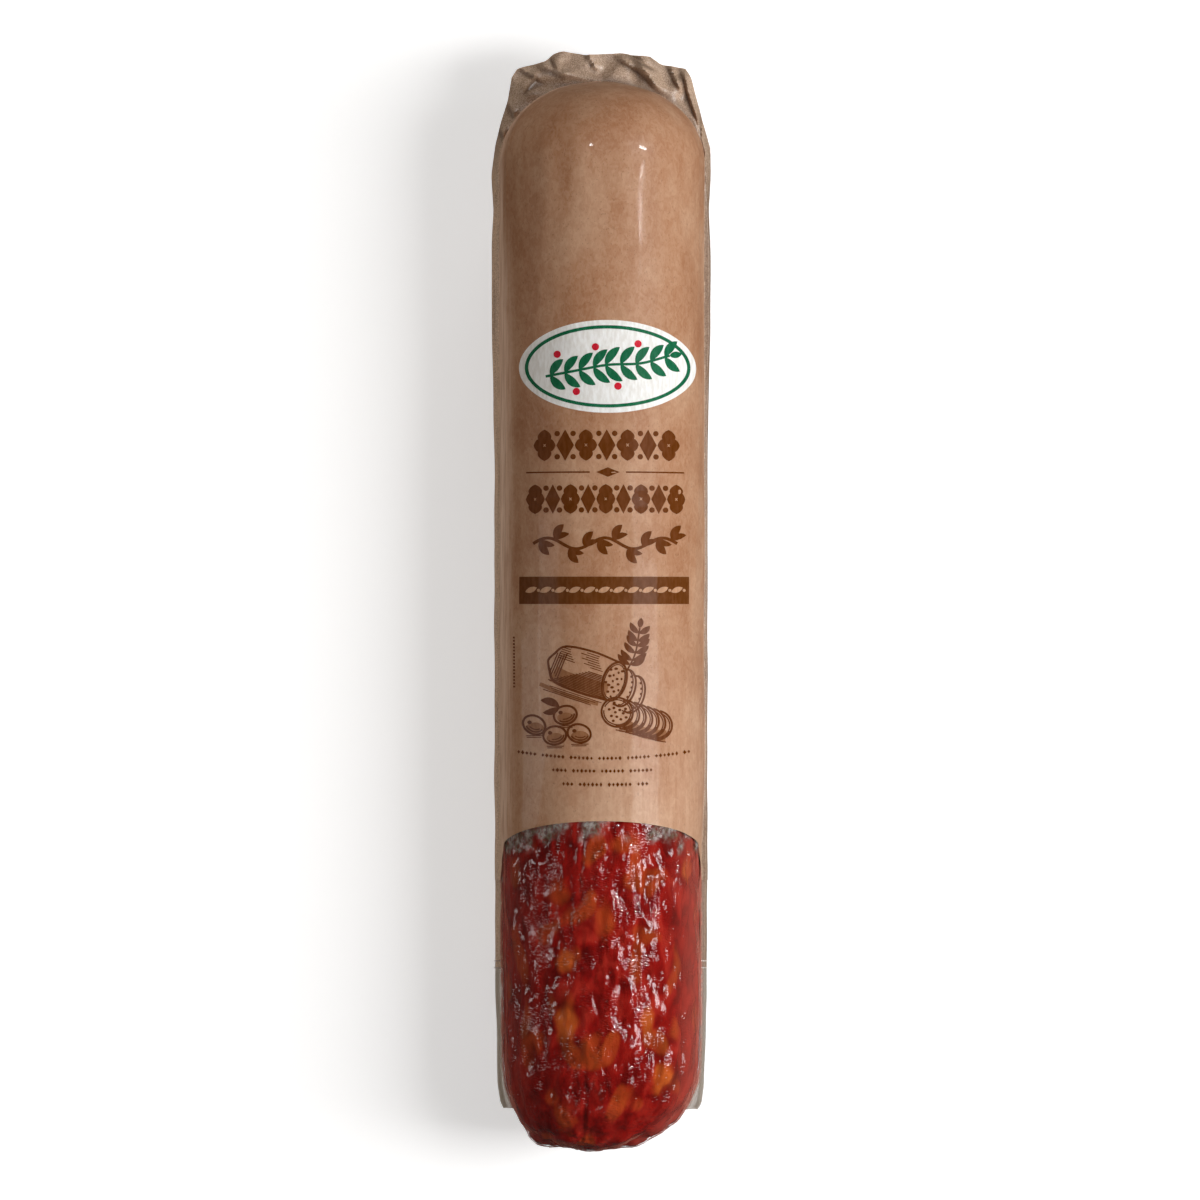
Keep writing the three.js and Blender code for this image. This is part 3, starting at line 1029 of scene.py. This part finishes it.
def line_drawing():
    """A cut sausage with slices, a herb sprig and olives."""
    art = Print(0.05)
    herb_sprig(art)
    cut_sausage(art)
    slice_fan(art)
    olives(art)
    art.mirror(DRAWING_MIDDLE)
    art.lay("line_drawing", "drawing ink", (0.12, 0.032, 0.006))


# The rows of tiny lozenges: height, left end, right end, sag in the middle and lozenge height.
DASH_ROWS = [(-41.6, -23.2, 24.6, 1.6, 1.0), (-46.4, -13.6, 15.3, 0.3, 1.0), (-50.2, -10.8, 13.0, 0.2, 1.1)]


def dashes():
    """Rows of tiny lozenges in groups, and one upright row of specks at the left."""
    art = Print(0.05)
    for row, (y, left, right, sag, height) in enumerate(DASH_ROWS):
        middle, half = (left + right) / 2, (right - left) / 2
        count = round((right - left) / 1.12)
        for number, x in enumerate(np.linspace(left + 0.5, right - 0.5, count)):
            if (number + row) % 7 != 5:
                bowed = y - sag * (1 - ((x - middle) / half) ** 2)
                art.lozenge((x, bowed), 0.46 if number % 3 else 0.36, height * (0.62 if number % 2 else 0.48))
    for number in range(16):
        y = -10 - 0.9 * number
        art.ribbon([(-23.9, y), (-23.9, y - 0.25), (-23.9, y - 0.5)], 0.22)
    art.lay("small_dashes", "dash ink", BROWN)


def seal_marks():
    """Two dotted whitish lines across each side seal, where the lower web's print ends."""
    points, faces = [], []
    for side in (-1, 1):
        for y in (BACK_PRINT_END + 1.9, BACK_PRINT_END):
            for number in range(5):
                x = side * (28.0 + 0.42 * number)
                for dx, dy in [(-0.17, -0.17), (0.17, -0.17), (0.17, 0.17), (-0.17, 0.17)]:
                    points.append((x + dx, y + dy, AXIS_Z + 0.35))
                faces.append([len(points) - 4 + corner for corner in range(4)])
    white = ink("white marks", (0.7, 0.67, 0.62))
    piece = new_piece("seal_marks", np.array(points), np.array(faces), [white])
    thicken(piece, INK_WALL)


# ---- the stage
FRAME_SIDE = 333.4  # what the camera sees across, at the seam's height
CAMERA_HEIGHT = 1800.0
CAMERA_REACH = 20000
FLOOR_HALF = 3000

# The lights that aren't mirrored: name, place, the point they face, size, power and colour.
SOFT_LIGHTS = [
    ("key", (702, -60, 615), (0, -20, 25), (430, 700), 9.3, (1, 1, 1)),
    ("fill", (-880, -20, 262), (0, -20, 25), (440, 700), 2.25, (1, 0.93, 0.86)),
    ("end fill", (90, 930, 260), (0, 120, 25), (420, 260), 2.0, (1, 1, 1)),
    ("low fill", (60, -930, 260), (0, -120, 25), (420, 260), 0.3, (1, 1, 1)),
]

# The lights that the film and the casing mirror, which don't light them otherwise: name, place, size, turn in
# degrees about the light's own axis, and power.
GLINTS = [
    ("key glint", (702, -60, 615), (160, 540), 0, 3.4),
    ("fill glint", (-804, -20, 453), (90, 440), 0, 0.5),
    ("side glint", (-905, -60, 110), (100, 480), 0, 0.6),
    ("end glint", (-260, -720, 600), (110, 200), 0, 0.45),
    ("strip", (690, 168, 650), (5, 140), 4.5, 0.6),
    ("high lamp", (650, 425, 560), (40, 200), -40, 9.0),
    ("low lamp", (-108, 475, 870), (40, 40), 0, 1.8),
]


def area_light(name, place, target, size, power, color=(1, 1, 1), turn=0.0):
    light = bpy.data.lights.new(name, "AREA")
    light.shape = "RECTANGLE"
    light.size, light.size_y = size[0] * MM, size[1] * MM
    light.energy = power
    light.color = color
    lamp = add_object(name, light)
    lamp.location = [c * MM for c in place]
    aim = Vector([t - p for t, p in zip(target, place)]).to_track_quat("-Z", "Y")
    lamp.rotation_euler = (aim @ Quaternion((0, 0, 1), math.radians(turn))).to_euler()
    return lamp


def lights():
    world = bpy.data.worlds.new("studio")
    world.use_nodes = True
    background = world.node_tree.nodes["Background"]
    background.inputs["Color"].default_value = (1, 0.92, 0.84, 1)
    background.inputs["Strength"].default_value = 0.07
    bpy.context.scene.world = world
    for name, place, target, size, power, color in SOFT_LIGHTS:
        area_light(name, place, target, size, power, color).visible_glossy = False
    for name, place, size, turn, power in GLINTS:
        area_light(name, place, (0, 0, 30), size, power, turn=turn).visible_diffuse = False


def floor_sheet():
    """A plain pale floor that nothing mirrors and that sends no bounced light up."""
    mesh = bpy.data.meshes.new("floor")
    half = FLOOR_HALF * MM
    corners = [(-half, -half, 0), (half, -half, 0), (half, half, 0), (-half, half, 0)]
    mesh.from_pydata(corners, [], [(0, 1, 2, 3)])
    graph = Graph("floor")
    mesh.materials.append(graph.finish(graph.add("BsdfPrincipled", {
        "Base Color": (0.9, 0.9, 0.9), "Roughness": 0.8, "Emission Color": (1, 1, 1),
        "Emission Strength": 0.5,
    })))
    floor = add_object("floor", mesh)
    floor.visible_diffuse = False
    floor.visible_glossy = False


def camera_above():
    camera = bpy.data.cameras.new("camera")
    camera.sensor_width = 36
    camera.lens = camera.sensor_width * (CAMERA_HEIGHT - AXIS_Z) / FRAME_SIDE
    camera.clip_end = CAMERA_REACH * MM
    viewer = add_object("camera", camera)
    viewer.location = (-0.3 * MM, 0.1 * MM, CAMERA_HEIGHT * MM)
    bpy.context.scene.camera = viewer


def stage():
    bpy.context.scene.view_settings.view_transform = "Standard"
    lights()
    floor_sheet()
    camera_above()


sausage()
films()
badge()
headings()
drawing_shades()
line_drawing()
dashes()
seal_marks()
stage()
